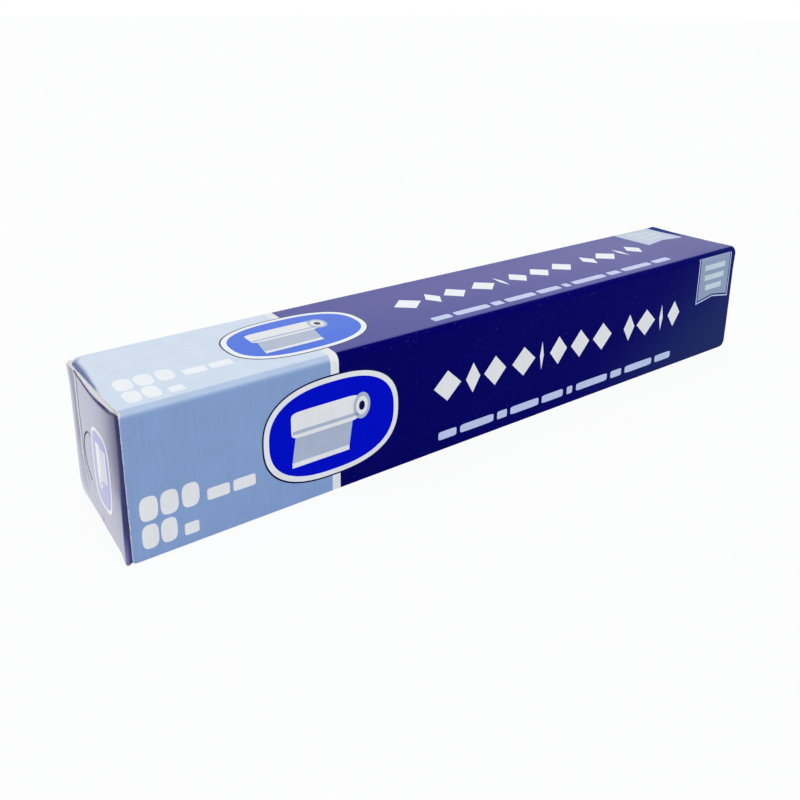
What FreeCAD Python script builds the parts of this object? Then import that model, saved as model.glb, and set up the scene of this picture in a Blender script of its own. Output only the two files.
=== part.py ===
"""Closed carton of kitchen foil: a folded board tray with a glued wrap-over lid, as one solid.

Millimetres. The origin is at the bottom centre. +X runs along the carton, -Y is the front face
and +Z is up. The tray's left end stands out past the lid, and the lid overhangs the tray's right end.
"""
import FreeCAD, Part
import os

# Overall sizes
lid_length = 315.2
tray_lead = 2.0
lid_overhang = 3.6
depth = 53.4
height = 54.4
board = 0.6

# Outer radii of the folds, by the panels that they join
base_fold_radius = 1.2
hinge_fold_radius = 1.2
lid_fold_radius = 3.0
side_fold_radius = 1.5
dust_fold_radius = 1.1

# Front flap of the lid
flap_lift = 0.5
flap_corner_radius = 3.5

# Outer end flap, measured back from the tray's front face and up from the bottom
end_flap_reach_top = 42.3
end_flap_reach_wide = 43.8
end_flap_reach_slope = 41.2
end_flap_reach_low = 38.3
end_flap_wide_height = 20.0
end_flap_slope_height = 7.0
end_flap_front_drop = 1.6
end_flap_top_drop = 2.0
end_flap_top_sag = 2.5
end_flap_bottom_rise = 2.0
end_flap_bottom_bow = 0.5
end_flap_nose = 4.5

# Press-in tab, cut through the outer end flap along a round line and creased along a straight one
tab_radius = 9.8
tab_reach = 29.8
tab_height = 24.2
tab_crease_offset = 5.0
tab_cut_width = 0.4
tab_crease_depth = 0.2

# Places that follow from the sizes
total_length = tray_lead + lid_length
tray_left = -total_length / 2
lid_left = tray_left + tray_lead
lid_right = lid_left + lid_length
tray_right = lid_right - lid_overhang
front = -depth / 2
back = depth / 2
tray_front = front + board
tray_top = height - board

# How far cutting tools run past what they cut, and the sine of half a right angle
MARGIN = 5.0
HALF_TURN_SINE = 0.5 ** 0.5


def point(x, y, z):
    return FreeCAD.Vector(x, y, z)


def line(start, end):
    return Part.makeLine(start, end)


def corner_arc(x, centre_y, centre_z, radius, from_y, from_z):
    """Quarter circle in a plane of constant x, from one axis direction to the next.

    from_y and from_z are the signs of the corner that the arc rounds.
    """
    on_side = point(x, centre_y + from_y * radius, centre_z)
    slant = HALF_TURN_SINE * radius
    middle = point(x, centre_y + from_y * slant, centre_z + from_z * slant)
    on_end = point(x, centre_y, centre_z + from_z * radius)
    return Part.Arc(on_side, middle, on_end).toShape()


def extruded(edges, length):
    """Solid swept along +X from a closed outline of edges."""
    outline = Part.Wire(Part.__sortEdges__(edges))
    return Part.Face(outline).extrude(point(length, 0, 0))


def tray_profile(x):
    """Section of the tray: folded along the bottom, stepped in for the lid's hinge at the back."""
    base = base_fold_radius
    under_lid = lid_fold_radius - board
    under_hinge = hinge_fold_radius - board
    hinge_start = height - hinge_fold_radius
    inner_back = back - board
    return [
        corner_arc(x, tray_front + base, base, base, -1, -1),
        line(point(x, tray_front + base, 0), point(x, back - base, 0)),
        corner_arc(x, back - base, base, base, 1, -1),
        line(point(x, back, base), point(x, back, hinge_start)),
        line(point(x, back, hinge_start), point(x, inner_back, hinge_start)),
        corner_arc(x, inner_back - under_hinge, hinge_start, under_hinge, 1, 1),
        line(point(x, inner_back - under_hinge, tray_top), point(x, tray_front + under_lid, tray_top)),
        corner_arc(x, tray_front + under_lid, tray_top - under_lid, under_lid, -1, 1),
        line(point(x, tray_front, tray_top - under_lid), point(x, tray_front, base))]


def lid_profile(x):
    """Section of the lid: hinge fold, top panel, front fold and front flap, one board thick."""
    hinge_y = back - hinge_fold_radius
    hinge_z = height - hinge_fold_radius
    fold_y = front + lid_fold_radius
    fold_z = height - lid_fold_radius
    return [
        corner_arc(x, hinge_y, hinge_z, hinge_fold_radius, 1, 1),
        line(point(x, hinge_y, height), point(x, fold_y, height)),
        corner_arc(x, fold_y, fold_z, lid_fold_radius, -1, 1),
        line(point(x, front, fold_z), point(x, front, flap_lift)),
        line(point(x, front, flap_lift), point(x, tray_front, flap_lift)),
        line(point(x, tray_front, flap_lift), point(x, tray_front, fold_z)),
        corner_arc(x, fold_y, fold_z, lid_fold_radius - board, -1, 1),
        line(point(x, fold_y, tray_top), point(x, hinge_y, tray_top)),
        corner_arc(x, hinge_y, hinge_z, hinge_fold_radius - board, 1, 1),
        line(point(x, back - board, hinge_z), point(x, back, hinge_z))]


def flap_corner_cut(edge_x, inward):
    """What the rounded lower corner of the lid's front flap leaves off, at one raw edge."""
    radius = flap_corner_radius
    block = Part.makeBox(radius, board, radius, point(min(edge_x, edge_x + inward * radius), front, flap_lift))
    centre = point(edge_x + inward * radius, front, flap_lift + radius)
    disc = Part.makeCylinder(radius, board, centre, point(0, 1, 0))
    return block.cut(disc)


def make_lid():
    lid = extruded(lid_profile(lid_left), lid_length)
    lid = lid.cut(flap_corner_cut(lid_left, 1))
    return lid.cut(flap_corner_cut(lid_right, -1))


def end_flap_outline(x):
    """Outline of the outer end flap, with its front side carried past the tray's front face.

    The top edge sags, the free edge leans back to its widest place and slopes in below it, and the
    bottom edge drops to the carton's foot at the fold.
    """
    def at(reach, z):
        return point(x, tray_front + reach, z)

    top_front = at(0, tray_top - end_flap_front_drop)
    top_back = at(end_flap_reach_top, tray_top - end_flap_top_drop)
    top_middle = at(end_flap_reach_top / 2, tray_top - end_flap_top_sag)
    wide = at(end_flap_reach_wide, end_flap_wide_height)
    low = at(end_flap_reach_low, end_flap_bottom_rise)
    slope = at(end_flap_reach_slope, end_flap_slope_height)
    nose = at(end_flap_nose, end_flap_bottom_rise)
    bottom_middle = at((end_flap_nose + end_flap_reach_low) / 2, end_flap_bottom_rise + end_flap_bottom_bow)
    outer_top = at(-MARGIN, tray_top)
    outer_foot = at(-MARGIN, 0)
    return [
        line(outer_top, top_front),
        Part.Arc(top_front, top_middle, top_back).toShape(),
        line(top_back, wide),
        Part.Arc(wide, slope, low).toShape(),
        Part.Arc(low, bottom_middle, nose).toShape(),
        line(nose, at(0, 0)),
        line(at(0, 0), outer_foot),
        line(outer_foot, outer_top)]


def around_end_flap(face_x, inward):
    """The board's thickness of the tray's end that the outer flap leaves bare."""
    start = min(face_x, face_x + inward * board)
    slab = Part.makeBox(board, depth + 2 * MARGIN, height + 2 * MARGIN, point(start, front - MARGIN, -MARGIN))
    return slab.cut(extruded(end_flap_outline(start), board))


def tab_cuts(face_x, inward):
    """Round cut line and straight crease of the press-in tab, in the outer end flap."""
    centre_y = tray_front + tab_reach
    crease_y = centre_y - tab_crease_offset
    half_crease = (tab_radius ** 2 - tab_crease_offset ** 2) ** 0.5
    axis = point(inward, 0, 0)
    hub = point(face_x, centre_y, tab_height)
    ring = Part.makeCylinder(tab_radius, board, hub, axis)
    ring = ring.cut(Part.makeCylinder(tab_radius - tab_cut_width, board, hub, axis))
    side = 2 * tab_radius + MARGIN
    start = min(face_x, face_x + inward * board)
    behind = Part.makeBox(board, side, side, point(start, crease_y, tab_height - side / 2))
    crease_start = min(face_x, face_x + inward * tab_crease_depth)
    crease = Part.makeBox(tab_crease_depth, tab_cut_width, 2 * half_crease,
                          point(crease_start, crease_y, tab_height - half_crease))
    return ring.common(behind), crease


def rounded_box(low, high, direction, radius_at):
    """Box with the edges along a direction rounded; radius_at gives a radius, or none, for a place."""
    box = Part.makeBox(high.x - low.x, high.y - low.y, high.z - low.z, low)
    for edge in box.Edges:
        if abs(edge.Curve.Direction.dot(direction)) < 0.5:
            continue
        radius = radius_at(edge.CenterOfMass)
        if radius:
            near = [e for e in box.Edges if (e.CenterOfMass - edge.CenterOfMass).Length < board / 10]
            box = box.makeFillet(radius, near)
    return box


def tray_outline():
    """The tray's outer limits in plan, with the two folds between its front and its end flaps."""
    return rounded_box(point(tray_left, tray_front, 0), point(tray_right, back, height),
                       point(0, 0, 1), lambda c: side_fold_radius if c.y < 0 else 0)


def make_core():
    """Tray up to the plane that the outer end flaps lie on, with its end folds rounded."""
    core_left = tray_left + board
    core_right = tray_right - board
    core = extruded(tray_profile(core_left), core_right - core_left)
    low = point(core_left, tray_front, 0)
    dust_folds = rounded_box(low, point(core_right, back, tray_top), point(0, 1, 0), lambda c: dust_fold_radius)
    back_folds = rounded_box(low, point(core_right, back, height), point(0, 0, 1),
                             lambda c: base_fold_radius if c.y > 0 else 0)
    return core.common(dust_folds).common(back_folds).common(tray_outline())


def make_end_layer(face_x, inward):
    """Outer end flap with its fold round to the tray's front panel, one board thick."""
    start = min(face_x, face_x + inward * board)
    layer = extruded(tray_profile(start), board).common(tray_outline())
    layer = layer.cut(around_end_flap(face_x, inward))
    for cut in tab_cuts(face_x, inward):
        layer = layer.cut(cut)
    return layer


def make_carton():
    carton = make_core()
    carton = carton.fuse(make_end_layer(tray_left, 1))
    carton = carton.fuse(make_end_layer(tray_right, -1))
    carton = carton.fuse(make_lid())
    return carton.removeSplitter()


os.makedirs("parts", exist_ok=True)
carton = make_carton()
print("solids", len(carton.Solids), "valid", carton.isValid(), "volume", round(carton.Volume, 1))
print("box", carton.BoundBox)
carton.exportStep("parts/foil_carton.step")
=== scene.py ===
"""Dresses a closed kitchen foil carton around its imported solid.

The board is built as the folded blank: a wrap-over lid with its front flap, outer end flaps with
press-in tabs, and the body of panels and inner flaps that they close. The print is colour fields in
the board's material, and thin slabs of ink that follow the panels.
"""
import math

import bmesh
import bpy
import numpy as np
from bpy.props import FloatProperty, FloatVectorProperty, PointerProperty
from mathutils import Matrix, Vector


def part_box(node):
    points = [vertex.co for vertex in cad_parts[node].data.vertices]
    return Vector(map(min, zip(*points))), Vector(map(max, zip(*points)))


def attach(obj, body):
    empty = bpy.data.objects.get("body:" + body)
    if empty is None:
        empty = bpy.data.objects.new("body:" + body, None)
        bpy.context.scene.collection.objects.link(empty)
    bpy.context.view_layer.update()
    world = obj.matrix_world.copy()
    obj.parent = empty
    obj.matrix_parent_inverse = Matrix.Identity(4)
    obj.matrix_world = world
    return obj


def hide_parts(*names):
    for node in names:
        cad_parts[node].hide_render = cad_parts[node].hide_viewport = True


bl_info = {
    "name": "Foil Carton Dressing",
    "version": (1, 0, 0),
    "blender": (4, 5, 0),
    "location": "View3D > Sidebar > Foil Carton",
    "description": "Builds the folded board, print and stage of a kitchen foil carton",
    "category": "Add Mesh",
}

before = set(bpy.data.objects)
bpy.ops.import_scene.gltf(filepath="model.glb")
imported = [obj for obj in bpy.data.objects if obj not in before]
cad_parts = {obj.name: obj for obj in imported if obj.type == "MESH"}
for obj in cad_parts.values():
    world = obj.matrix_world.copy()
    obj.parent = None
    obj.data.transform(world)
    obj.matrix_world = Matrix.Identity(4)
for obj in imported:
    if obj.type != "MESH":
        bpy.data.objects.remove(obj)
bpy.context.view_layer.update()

NODE = "foil_carton"
BODY = "root"
MM = 0.001
RAW = "raw"
WEAR = "wear"
SHADE_AND_DULL = "shade_and_dull"
INK = "ink"
INK_LAYERS = 8
MERGE_DISTANCE = 0.0005 * MM
SHARP_ANGLE = 40.0


# Properties

def length_property(name, millimetres, description):
    return FloatProperty(name=name, description=description, default=millimetres * MM, unit="LENGTH",
                         precision=5)


def colour_property(name, colour, description):
    return FloatVectorProperty(name=name, description=description, default=colour, size=3,
                               subtype="COLOR", min=0.0, max=1.0)


class CartonSizes(bpy.types.PropertyGroup):
    """Sizes of the folded board that a user would change"""
    board: length_property("Board", 0.6, "Thickness of the board")
    side_bulge: length_property("Side bulge", 0.2, "How far the long sides bulge past their folds")
    top_bulge: length_property("Top bulge", 0.9, "How far the top stands above its folds at its highest")
    end_bulge: length_property("End bulge", 0.6, "How far the ends' folds and the lid's corners may flare")
    tray_lead: length_property("Tray lead", 2.0, "How far the tray stands out past the lid at the left")
    lid_overhang: length_property("Lid overhang", 3.6, "How far the lid passes the tray at the right")
    lid_fold: length_property("Lid fold", 3.0, "Outer radius of the fold between lid and front flap")
    hinge_fold: length_property("Hinge fold", 1.2, "Outer radius of the fold that hinges the lid")
    side_fold: length_property("Side fold", 1.5, "Outer radius of the folds from panels to end flaps")
    base_fold: length_property("Base fold", 1.2, "Outer radius of the folds round the body")
    flap_lift: length_property("Flap lift", 0.25, "Height of the front flap's lower edge at its ends")
    left_corner: length_property("Left corner", 1.0, "Radius of the front flap's lower left corner")
    right_corner: length_property("Right corner", 3.4, "Radius of the front flap's lower right corner")
    lid_skew: length_property("Lid skew", 1.6, "How far the lid's left end leans out towards the back")
    lid_notch: length_property("Lid notch", 2.5, "How far the lid's left end is cut back at its hinge")
    corner_lift: length_property("Corner lift", 0.46, "How far the front fold swells at the lid's right end")
    end_raise: length_property("End raise", 0.42, "How far the lid's right end stands up")
    curl: length_property("Curl", 0.45, "How far the lid's right back corner curls up")
    droop: length_property("Droop", 0.3, "How far the left back corner hangs down")
    hinge_sag: length_property("Hinge sag", 0.6, "How far the top's back edge lies below its front edge")
    crown: length_property("Crown", 0.2, "How far the lid's top bows up at the middle")
    bottom_bow: length_property("Bottom bow", 0.15, "How far the long lower edges rise at the middle")
    tab_radius: length_property("Tab radius", 9.8, "Radius of the press-in tab's round cut")
    tab_place: length_property("Tab place", 3.2, "Place of the tab's centre from front to back")
    tab_height: length_property("Tab height", 23.6, "Height of the tab's centre")
    tab_crease: length_property("Tab crease", 5.0, "Distance from the tab's centre to its crease")


class PrintLayout(bpy.types.PropertyGroup):
    """Places and sizes of the print"""
    stripe_start: length_property("Stripe start", -82.2, "Where the white stripe starts")
    stripe_width: length_property("Stripe width", 3.35, "Width of the white stripe")
    label_width: length_property("Label width", 56.0, "Width of the oval label on the lid")
    label_front: length_property("Label height", 39.0, "Height of the oval label on the front")
    label_top: length_property("Label depth", 36.2, "Depth of the oval label on the top")
    label_end_width: length_property("End label width", 18.6, "Width of the oval label on an end")
    label_end_height: length_property("End label height", 28.6, "Height of the oval label on an end")
    label_border: length_property("Label border", 2.0, "Width of the label's white border")
    label_line: length_property("Label line", 0.62, "Width of the dark line round the label's border")
    film: length_property("Ink film", 0.010, "Thickness of one layer of ink")


class CartonColours(bpy.types.PropertyGroup):
    """Colours of the print and the board, with lighter copies for the top as painted haze and light, and
    colours of painted shade and reflection
    """
    navy: colour_property("Navy", (0.001, 0.001, 0.128), "Main field of the print, on the front")
    # Painted reflection: the front's navy lightens towards its lower right, where the panel is seen at a
    # grazing angle
    navy_painted_reflection: colour_property("Navy far", (0.013, 0.026, 0.140), "Main field at the front's lower right")
    # Painted haze and light: a lighter copy of the navy for the top and the ends
    navy_top_painted_light: colour_property("Navy top", (0.012, 0.012, 0.29), "Main field on the top and the ends")
    pale: colour_property("Pale blue", (0.262, 0.388, 0.66), "Field at the left of the print, on the front")
    # Painted haze and light: a lighter copy of the pale field for the top
    pale_top_painted_light: colour_property("Pale top", (0.68, 0.785, 0.92), "Field at the left of the print, on the top")
    royal: colour_property("Royal blue", (0.0, 0.005, 0.60), "Field of the oval label, on the front and ends")
    # Painted haze and light: a lighter copy of the label's royal blue for the top
    royal_top_painted_light: colour_property("Royal top", (0.0, 0.12, 0.78), "Field of the oval label, on the top")
    white: colour_property("White", (0.86, 0.87, 0.89), "White ink, on the front and ends")
    # Painted haze and light: a lighter copy of the white ink for the top
    white_top_painted_light: colour_property("White top", (0.93, 0.97, 1.0), "White ink, on the top")
    steel: colour_property("Steel blue", (0.31, 0.39, 0.555), "Field of the pennant on the front")
    # Painted haze and light: a lighter copy of the pennant's steel blue for the top
    steel_top_painted_light: colour_property("Steel top", (0.55, 0.63, 0.76), "Field of the pennant on the top")
    ice: colour_property("Ice blue", (0.60, 0.72, 0.80), "Bars of the pennant")
    # Painted shadow along the end flaps' upper edges, dark unvarnished ink beside their free edges and in one
    # spot, and the dark ink of the label's outline and roll
    shade: colour_property("Shade", (0.004, 0.005, 0.075), "Ink where it is worn dull or lies in shade")
    # Painted shade at the lid's right back corner, where its end curls, and the dark strip along its left
    # edge
    streak_and_painted_shade: colour_property("Streak", (0.010, 0.040, 0.22), "Worn ink along the lid's left edge")
    lilac: colour_property("Lilac", (0.58, 0.66, 0.93), "Outline of the pennant")
    foil: colour_property("Foil grey", (0.45, 0.52, 0.66), "Shaded parts of the label's roll")
    board: colour_property("Raw board", (0.84, 0.80, 0.80), "Cut edges and bare side of the board")


# Specular level, varnish weight and index, roughness of ink and varnish, shade on cut edges

LID_FINISH = (0.01, (0.53, 2.0), (0.28, 0.2), 0.0)
TRAY_FINISH = (0.5, (1.0, 2.0), (0.16, 0.1), 1.0)

# Blur of a printed edge, line of painted shade in the tab's cut, and where the shine beside the tray's
# folds lies: varnish there, and painted haze in the navy

PRINT_BLUR = 0.08 * MM
CUT_SHADE_COLOUR = (0.0, 0.0, 0.02)
CUT_LINE = (0.12 * MM, 0.32 * MM)
CUT_END_BLUR = 0.2 * MM
TRAY_MIDDLE = -1.5 * MM
BESIDE_FOLDS = (154.8 * MM, 156.0 * MM)
FOOT_SHINE = (1 * MM, 15 * MM)


# Shader writing

class Value:
    """Wraps a socket, so that arithmetic on it reads as Python and adds its Math nodes."""

    def __init__(self, shader, socket):
        self.shader = shader
        self.socket = socket

    def math(self, operation, *values):
        return self.shader.node("ShaderNodeMath", {"operation": operation}, dict(enumerate(values)))

    def __add__(self, other):
        return self.math("ADD", self, other)

    def __sub__(self, other):
        return self.math("SUBTRACT", self, other)

    def __rsub__(self, other):
        return self.math("SUBTRACT", other, self)

    def __mul__(self, other):
        return self.math("MULTIPLY", self, other)

    def __pow__(self, other):
        return self.math("POWER", self, other)

    def __abs__(self):
        return self.math("ABSOLUTE", self)

    def most(self, other):
        return self.math("MAXIMUM", self, other)

    __radd__ = __add__
    __rmul__ = __mul__


class Shader:
    """Writes the node tree of one material or world."""

    def __init__(self, owner):
        owner.use_nodes = True
        self.tree = owner.node_tree
        self.tree.nodes.clear()

    def node(self, kind, settings=None, inputs=None, output=0):
        """Adds a node: its settings first, then the values or links of its sockets."""
        made = self.tree.nodes.new(kind)
        for key, value in (settings or {}).items():
            setattr(made, key, value)
        for key, value in (inputs or {}).items():
            if isinstance(value, Value):
                self.tree.links.new(value.socket, made.inputs[key])
            else:
                made.inputs[key].default_value = value
        return Value(self, made.outputs[output]) if made.outputs else made

    def mix(self, factor, first, second):
        """Colour between two colours."""
        ends = [c if isinstance(c, Value) else (*c, 1.0) for c in (first, second)]
        return self.node("ShaderNodeMix", {"data_type": "RGBA"}, {0: factor, 6: ends[0], 7: ends[1]}, 2)

    def place(self, output="Object"):
        """Object coordinates or normal, as a vector and as its three values."""
        vector = self.node("ShaderNodeTexCoord", output=output)
        split = self.node("ShaderNodeSeparateXYZ", inputs={0: vector}).socket.node
        return vector, [Value(self, split.outputs[i]) for i in range(3)]

    def noise(self, vector, scale, detail=2.0, stretch=None):
        """Noise with about this many cells a metre, stretched along the axes if asked."""
        if stretch:
            vector = self.node("ShaderNodeVectorMath", {"operation": "MULTIPLY"}, {0: vector, 1: stretch})
        return self.node("ShaderNodeTexNoise", inputs={"Vector": vector, "Scale": scale, "Detail": detail})

    def ramp(self, value, low, high, low_out=0.0, high_out=1.0):
        """Smooth step of a value from low to high."""
        return self.node("ShaderNodeMapRange", {"interpolation_type": "SMOOTHSTEP"},
                         {0: value, 1: low, 2: high, 3: low_out, 4: high_out})

    def attribute(self, name, output="Fac"):
        return self.node("ShaderNodeAttribute", {"attribute_name": name}, output=output)

    def surface(self, sockets):
        """Principled surface from its sockets."""
        made = self.node("ShaderNodeBsdfPrincipled", inputs=sockets)
        self.node("ShaderNodeOutputMaterial", inputs={"Surface": made})


def lid_gloss_and_painted_haze(shader):
    """0 on the front and the front fold, 1 on the top, where it fades a little near the right end.

    It weights the varnish, and mixes in the lighter top copies of the colours, which are painted haze.
    """
    kept = shader.ramp(shader.place()[1][0], 95 * MM, 150 * MM, 1.0, 0.86)
    return shader.ramp(shader.place("Normal")[1][1], -0.38, -0.12) * kept


def tray_gloss_and_painted_haze(shader):
    """0 on the front and its folds, 1 on the ends, where it fades slowly with the panel's direction.

    It reaches farther round the folds near the foot, and there onto the front beside them. It weights
    the varnish, and mixes in the navy's lighter copy, which is painted haze.
    """
    facing = shader.place("Normal")[1][1]
    x, _, z = shader.place()[1]
    fades_at = shader.ramp(z, 4 * MM, 26 * MM, -0.55, -0.12)
    round_folds = shader.ramp(facing, fades_at, 0.01) * shader.ramp(facing, 0.2, 0.6, 1.0, 0.53)
    beside_folds = shader.ramp(abs(x - TRAY_MIDDLE), *BESIDE_FOLDS) * shader.ramp(z, *FOOT_SHINE, 1.0, 0.0)
    return round_folds.most(beside_folds)


def varnished(shader, field, shade_colour, gloss, specular, varnish, smoothness, on_edges):
    """Printed and varnished board around the colour of its field.

    Mottled ink with faint upright streaks and specks, bare fibre where the raw mask is 1, chipped
    ink where the wear mask is high, unvarnished ink of the shade colour where the shade-and-dull mask
    is 1, which is painted shade in some places and dark, dull ink in others, and a varnish that shines
    where the gloss is 1. varnish is its most weight and its index, and smoothness the roughness of the
    ink and of the varnish. on_edges is how far bare board takes the shade colour too.
    """
    board = tuple(bpy.context.scene.carton_colours.board)
    vector = shader.place()[0]
    mottle = shader.noise(vector, 130.0, 3.0)
    streaks = shader.noise(vector, 1100.0, 2.0, (1.0, 1.0, 0.05))
    shade = 0.86 + mottle * 0.14 + streaks * 0.12
    inked = shader.node("ShaderNodeVectorMath", {"operation": "SCALE"}, {0: field, 3: shade})
    specks = shader.ramp(shader.noise(vector, 1500.0, 1.0), 0.74, 0.78) * shader.noise(vector, 90.0, 1.0)
    speckled = shader.mix(specks * 0.22, inked, board)
    raw = shader.attribute(RAW)
    wear = shader.attribute(WEAR)
    fibre = shader.noise(vector, 2400.0, 4.0)
    chips = shader.noise(vector, 950.0, 3.0)
    bare = shader.mix(shader.ramp(fibre, 0.35, 0.7), tuple(0.82 * c for c in board), board)
    # Painted shade, and dull ink, where the shade-and-dull mask is 1: the shade colour with no varnish
    shade_and_dull = shader.attribute(SHADE_AND_DULL) * (1.0 - raw * (1.0 - on_edges))
    chipped = shader.ramp(wear + chips * 0.9, 1.0, 1.18).most(raw) * (1.0 - shade_and_dull)
    base = shader.mix(shade_and_dull, shader.mix(chipped, speckled, bare), tuple(shade_colour))
    coat = gloss * (1.0 - chipped * 0.5) * (1.0 - shade_and_dull) * (0.92 + mottle * 0.16) * varnish[0]
    roughness = smoothness[0] + mottle * 0.14 + (chipped + shade_and_dull) * 0.45
    waves = shader.noise(vector, 42.0, 1.0)
    slow = shader.node("ShaderNodeBump", inputs={"Strength": 0.5, "Distance": 0.0004, "Height": waves})
    tooth = shader.noise(vector, 2600.0, 3.0)
    fine = shader.node("ShaderNodeBump", inputs={"Strength": 0.25, "Distance": 0.00003, "Height": tooth,
                                                "Normal": slow})
    shader.surface({"Base Color": base, "Roughness": roughness, "Specular IOR Level": specular,
                    "Coat Weight": coat, "Coat Roughness": smoothness[1], "Coat IOR": varnish[1],
                    "Normal": fine})


def past(shader, x, place):
    """0 before a place along the carton and 1 past it, with the slight blur of a printed edge."""
    return shader.ramp(x, place - PRINT_BLUR, place + PRINT_BLUR)


def lid_material(shader):
    """Pale field, white stripe and navy field, side by side along the carton."""
    scene = bpy.context.scene
    colours, layout = scene.carton_colours, scene.carton_print
    x, _, z = shader.place()[1]
    on_top = lid_gloss_and_painted_haze(shader)
    # Painted haze and light: the pale field lightens on the top, and where the lid turns away from the front
    painted_haze = on_top * 0.45 + shader.ramp(shader.place("Normal")[1][1], -1.0, -0.76) * 0.55
    pale = shader.mix(painted_haze, tuple(colours.pale), tuple(colours.pale_top_painted_light))
    # Painted reflection: the navy lightens along a slant towards the front's lower right
    painted_reflection_mask = shader.ramp(x - z * 1.5, 30 * MM, 150 * MM)
    navy_with_painted_reflection = shader.mix(painted_reflection_mask, tuple(colours.navy), tuple(colours.navy_painted_reflection))
    # Painted haze: the navy takes its lighter copy on the top
    navy = shader.mix(on_top, navy_with_painted_reflection, tuple(colours.navy_top_painted_light))
    stripe = shader.mix(past(shader, x, layout.stripe_start), pale, tuple(colours.white))
    field = shader.mix(past(shader, x, layout.stripe_start + layout.stripe_width), stripe, navy)
    varnished(shader, field, colours.streak_and_painted_shade, on_top, *LID_FINISH)


def tray_material(shader):
    """Navy board with a dark line of painted shade in the cut of each press-in tab.

    The cut is where the distance from the tab's centre is near its radius, behind its crease. On
    the back, the lid's pale field and white stripe go on down from the hinge.
    """
    scene = bpy.context.scene
    colours, sizes, layout = scene.carton_colours, scene.carton_sizes, scene.carton_print
    x, y, z = shader.place()[1]
    along, up = y - sizes.tab_place, z - sizes.tab_height
    distance = (along * along + up * up) ** 0.5
    line = shader.ramp(abs(distance - sizes.tab_radius), *CUT_LINE, 1.0, 0.0)
    behind = shader.ramp(along, -sizes.tab_crease - CUT_END_BLUR, -sizes.tab_crease + CUT_END_BLUR)
    gloss = tray_gloss_and_painted_haze(shader)
    # Painted haze: the navy takes its lighter copy on the ends, round the folds and beside them at the foot
    navy = shader.mix(gloss, tuple(colours.navy), tuple(colours.navy_top_painted_light))
    # Painted shade: a dark line in the tab's round cut, the shade in its narrow gap
    navy = shader.mix(line * behind * 0.85, navy, CUT_SHADE_COLOUR)
    pale = shader.mix(past(shader, x, layout.stripe_start), tuple(colours.pale_top_painted_light), tuple(colours.white))
    on_back = shader.ramp(shader.place("Normal")[1][1], 0.6, 0.8)
    carried_on = on_back * (1.0 - past(shader, x, layout.stripe_start + layout.stripe_width))
    varnished(shader, shader.mix(carried_on, navy, pale), colours.shade, gloss, *TRAY_FINISH)


def lid_ink(shader):
    """Ink on the lid, whose colour each slab carries."""
    shade = bpy.context.scene.carton_colours.shade
    varnished(shader, shader.attribute(INK, "Color"), shade, lid_gloss_and_painted_haze(shader), *LID_FINISH)


def tray_ink(shader):
    """Ink on the tray's ends, whose colour each slab carries."""
    shade = bpy.context.scene.carton_colours.shade
    varnished(shader, shader.attribute(INK, "Color"), shade, tray_gloss_and_painted_haze(shader), *TRAY_FINISH)


def material(name, write):
    """The named material, written when it is first asked for."""
    found = bpy.data.materials.get(name)
    if not found:
        found = bpy.data.materials.new(name)
        write(Shader(found))
    return found


# Mesh writing

def sheet_faces(rows, columns):
    """Quads of a closed board: the outer grid, the inner grid and the rims between them.

    The outer grid's points come first, row by row, then the inner grid's. The flags are 1 on the rims
    and the inside, which are bare board.
    """
    index = np.arange(rows * columns).reshape(rows, columns)
    inner = rows * columns
    outside = np.stack([index[:-1, :-1], index[1:, :-1], index[1:, 1:], index[:-1, 1:]], -1).reshape(-1, 4)
    inside = outside[:, ::-1] + inner
    loops = [index[0, ::-1], index[:, 0], index[-1, :], index[::-1, -1]]
    rims = [np.stack([run[1:], run[:-1], run[:-1] + inner, run[1:] + inner], -1) for run in loops]
    edge = np.concatenate(rims)
    flags = np.concatenate([np.zeros(len(outside)), np.ones(len(inside) + len(edge))])
    return np.concatenate([outside, inside, edge]), flags


def new_object(name, points, quads, made_of, raw, wear=None, shade_and_dull=None, inks=None):
    """Object at the origin from arrays of points and quads, with its attributes and material."""
    mesh = bpy.data.meshes.new(name)
    mesh.vertices.add(len(points))
    mesh.vertices.foreach_set("co", np.ascontiguousarray(points, dtype=np.float32).ravel())
    mesh.loops.add(quads.size)
    mesh.loops.foreach_set("vertex_index", np.ascontiguousarray(quads, dtype=np.int32).ravel())
    mesh.polygons.add(len(quads))
    mesh.polygons.foreach_set("loop_start", np.arange(0, quads.size, 4, dtype=np.int32))
    mesh.update(calc_edges=True)
    mesh.attributes.new(RAW, "FLOAT", "FACE").data.foreach_set("value", raw.astype(np.float32))
    for mask, values in ((WEAR, wear), (SHADE_AND_DULL, shade_and_dull)):
        values = np.zeros(len(points)) if values is None else values
        mesh.attributes.new(mask, "FLOAT", "POINT").data.foreach_set("value", values.astype(np.float32))
    if inks is not None:
        whole = np.concatenate([inks, np.ones((len(inks), 1))], 1).astype(np.float32)
        mesh.attributes.new(INK, "FLOAT_COLOR", "POINT").data.foreach_set("color", whole.ravel())
    work = bmesh.new()
    work.from_mesh(mesh)
    bmesh.ops.remove_doubles(work, verts=work.verts, dist=MERGE_DISTANCE)
    work.to_mesh(mesh)
    work.free()
    mesh.shade_smooth()
    mesh.set_sharp_from_angle(angle=math.radians(SHARP_ANGLE))
    mesh.materials.append(made_of)
    made = bpy.data.objects.new(name, mesh)
    bpy.context.collection.objects.link(made)
    return made


def board_sheet(name, outer, inner, made_of, wear, shade_and_dull):
    """Closed sheet of board between an outer and an inner grid."""
    quads, raw = sheet_faces(*outer.shape[:2])
    points = np.concatenate([outer.reshape(-1, 3), inner.reshape(-1, 3)])
    worn, tiled_shade_and_dull = np.tile(wear.ravel(), 2), np.tile(shade_and_dull.ravel(), 2)
    return new_object(name, points, quads, made_of, raw, worn, tiled_shade_and_dull)


def own(piece, stands_for=False):
    """Ties a piece to the carton's body, and hides the imported solid when the piece stands for it."""
    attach(piece, BODY)
    if stands_for:
        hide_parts(NODE)


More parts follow.
